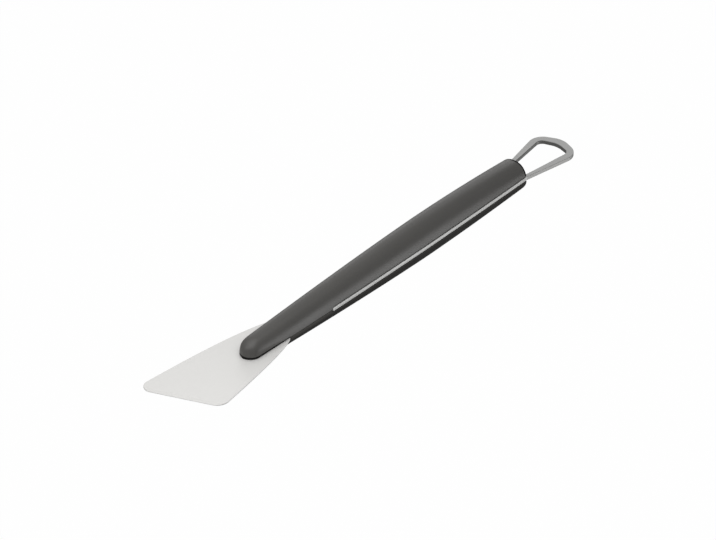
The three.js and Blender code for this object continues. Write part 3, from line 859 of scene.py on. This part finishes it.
screw_data.materials.append(lined_steel(
    "plated_screw_steel", (0.5, 0.5, 0.49), (0.66, 0.66, 0.645), lines=(5000.0, 3.0),
    marks=(400.0, 0.5), rough=(0.25, 0.1), metallic=1.0, relief=0.004 * MM,
))
for count, (name, at) in enumerate(SCREW_STATIONS.items()):
    screw = first_screw if count == 0 else bpy.data.objects.new(name + "_screw", screw_data)
    if count:
        bpy.context.scene.collection.objects.link(screw)
    turn = Matrix.Rotation(math.radians(FIRST_TURN + NEXT_TURN * count), 4, "Z")
    screw.matrix_world = Matrix.Translation(Vector(to_frame((at, 0, SCREW_SEAT)))) @ turn
    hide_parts("screw_" + name)
    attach(screw, "root")


# Stage: a plain pale floor well below the tool, which hangs free, and a pale surround.
# The camera sees both as white, gloss sees some of it, and the floor keeps the tool's soft shadow.
FLOOR_DEPTH = 0.55
FLOOR_HALF_SIDE = 8.0
FLOOR_GREY = (0.5, 0.5, 0.5, 1)
FLOOR_WHITENESS = 0.99
WHITE = (1, 1, 1, 1)
WHITE_IN_GLOSS = 0.1
SURROUND_LEVEL = 0.46
floor_mesh = bmesh.new()
bmesh.ops.create_grid(floor_mesh, x_segments=1, y_segments=1, size=FLOOR_HALF_SIDE)
floor = object_from("floor", floor_mesh)
floor.location = (0, 0, -FLOOR_DEPTH)


def seen_white(tree):
    """1 where the camera or a clear surface looks, a share in gloss, 0 for scattered light."""
    path = tree.nodes.new("ShaderNodeLightPath")
    gloss = math_node(tree, "MULTIPLY", path.outputs["Is Glossy Ray"], WHITE_IN_GLOSS)
    seen = math_node(tree, "MAXIMUM", path.outputs["Is Camera Ray"], gloss)
    return math_node(tree, "MAXIMUM", seen, path.outputs["Is Transmission Ray"])


floor_pale = bpy.data.materials.new("floor_pale")
floor_pale.use_nodes = True
tree = floor_pale.node_tree
tree.nodes.clear()
matte = tree.nodes.new("ShaderNodeBsdfDiffuse")
matte.inputs["Color"].default_value = FLOOR_GREY
glow = tree.nodes.new("ShaderNodeEmission")
glow.inputs["Color"].default_value = WHITE
mixed = tree.nodes.new("ShaderNodeMixShader")
output = tree.nodes.new("ShaderNodeOutputMaterial")
tree.links.new(math_node(tree, "MULTIPLY", seen_white(tree), FLOOR_WHITENESS), mixed.inputs[0])
tree.links.new(matte.outputs[0], mixed.inputs[1])
tree.links.new(glow.outputs[0], mixed.inputs[2])
tree.links.new(mixed.outputs[0], output.inputs["Surface"])
floor.data.materials.append(floor_pale)

surround = bpy.data.worlds.new("surround")
surround.use_nodes = True
tree = surround.node_tree
back = tree.nodes["Background"]
back.inputs["Color"].default_value = WHITE
level = math_node(tree, "MULTIPLY_ADD", seen_white(tree), 1 - SURROUND_LEVEL, SURROUND_LEVEL)
tree.links.new(level, back.inputs["Strength"])
bpy.context.scene.world = surround


# Lights: a softbox low on the near side draws the light band along the handle, one low behind
# draws the rim of its far edge, and one high over the blade's end lights the whole.
TOOL_CENTRE = Vector((-0.19, 0.0, 0.0))


def softbox(name, bearing, height, distance, width, tall, power):
    """An area lamp at a bearing from +X and a height, both in degrees, turned to the tool."""
    lamp = bpy.data.lights.new(name, "AREA")
    lamp.shape = "RECTANGLE"
    lamp.size = width
    lamp.size_y = tall
    lamp.energy = power
    made = bpy.data.objects.new(name, lamp)
    bearing, height = math.radians(bearing), math.radians(height)
    level = math.cos(height)
    out = Vector((level * math.cos(bearing), level * math.sin(bearing), math.sin(height)))
    made.location = TOOL_CENTRE + out * distance
    made.rotation_euler = (-out).to_track_quat("-Z", "Y").to_euler()
    bpy.context.scene.collection.objects.link(made)


softbox("low_softbox", bearing=-52, height=-26, distance=0.9, width=0.5, tall=0.38, power=1.6)
softbox("back_softbox", bearing=42, height=16, distance=1.3, width=0.95, tall=0.5, power=1.95)
softbox("key_softbox", bearing=197, height=63, distance=0.44, width=0.6, tall=0.6, power=1.95)


# Camera: the photograph's long lens, level, looking down along the tool from the blade's near side
CAMERA_TURN = math.radians(49.84)
CAMERA_TILT = math.radians(34.79)
LENS_PIXELS = 3000.0
PIXELS_PER_MM = 1.468
IMAGE_WIDTH = 716
SENSOR_WIDTH = 36.0
LOOKED_AT = (143.59, 0.0, 0.15)
# How far right of and above the image's middle, in pixels, that place appears
SEEN_RIGHT = 26.22
SEEN_ABOVE = 7.2
right = Vector((math.cos(CAMERA_TURN), -math.sin(CAMERA_TURN), 0))
ahead = Vector((math.sin(CAMERA_TURN) * math.cos(CAMERA_TILT),
                math.cos(CAMERA_TURN) * math.cos(CAMERA_TILT), -math.sin(CAMERA_TILT)))
above = right.cross(ahead)
offset = right * SEEN_RIGHT + above * SEEN_ABOVE + ahead * LENS_PIXELS
lens = bpy.data.cameras.new("camera")
lens.sensor_width = SENSOR_WIDTH
lens.lens = LENS_PIXELS / IMAGE_WIDTH * SENSOR_WIDTH
lens.clip_start = 0.05
lens.clip_end = 50.0
camera = bpy.data.objects.new("camera", lens)
turned = Matrix((right, above, -ahead)).transposed().to_4x4()
stand = Vector(to_frame(LOOKED_AT)) - offset * (MM / PIXELS_PER_MM)
camera.matrix_world = Matrix.Translation(stand) @ turned
bpy.context.scene.collection.objects.link(camera)
bpy.context.scene.camera = camera
bpy.context.scene.view_settings.view_transform = "Standard"
